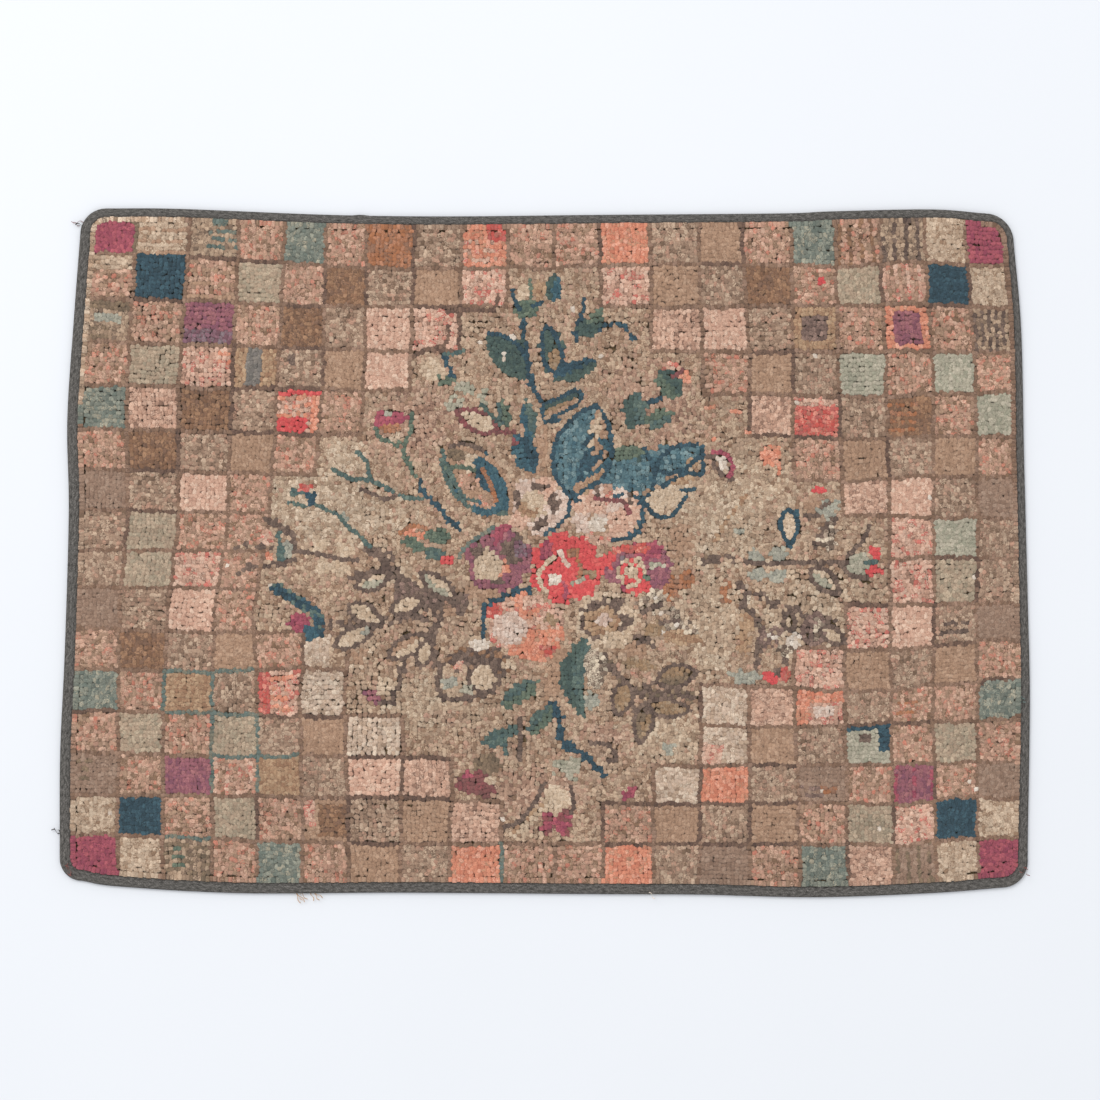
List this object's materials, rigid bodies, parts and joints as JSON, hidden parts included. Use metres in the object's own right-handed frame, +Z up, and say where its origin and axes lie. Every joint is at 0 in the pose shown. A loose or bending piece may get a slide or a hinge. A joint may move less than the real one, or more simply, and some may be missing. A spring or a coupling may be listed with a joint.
{
  "type": "hooked rug",
  "caption": "Flat oblong rug of hooked wool loops on burlap, a patchwork of blocks round a spray of flowers, its edge bound in twill tape.",
  "frame": {"origin": "middle of the rug's outline, on the floor that it lies on", "axes": "+X along the rug's length, +Y towards the head of its pattern, +Z up out of the pile"},
  "size_m": [0.9774, 0.694, 0.0083],
  "materials": {
    "burlap": "coarse plain-woven jute, matte",
    "wool_pile": "hooked wool loops in many dyed and marled colours, matte",
    "cotton_twill": "dark grey-brown cotton twill tape, matte, worn at its corners"
  },
  "bodies": {
    "root": {"burlap_foundation": "burlap", "hooked_pile": "wool_pile", "binding_tape": "cotton_twill"}
  },
  "joints": []
}
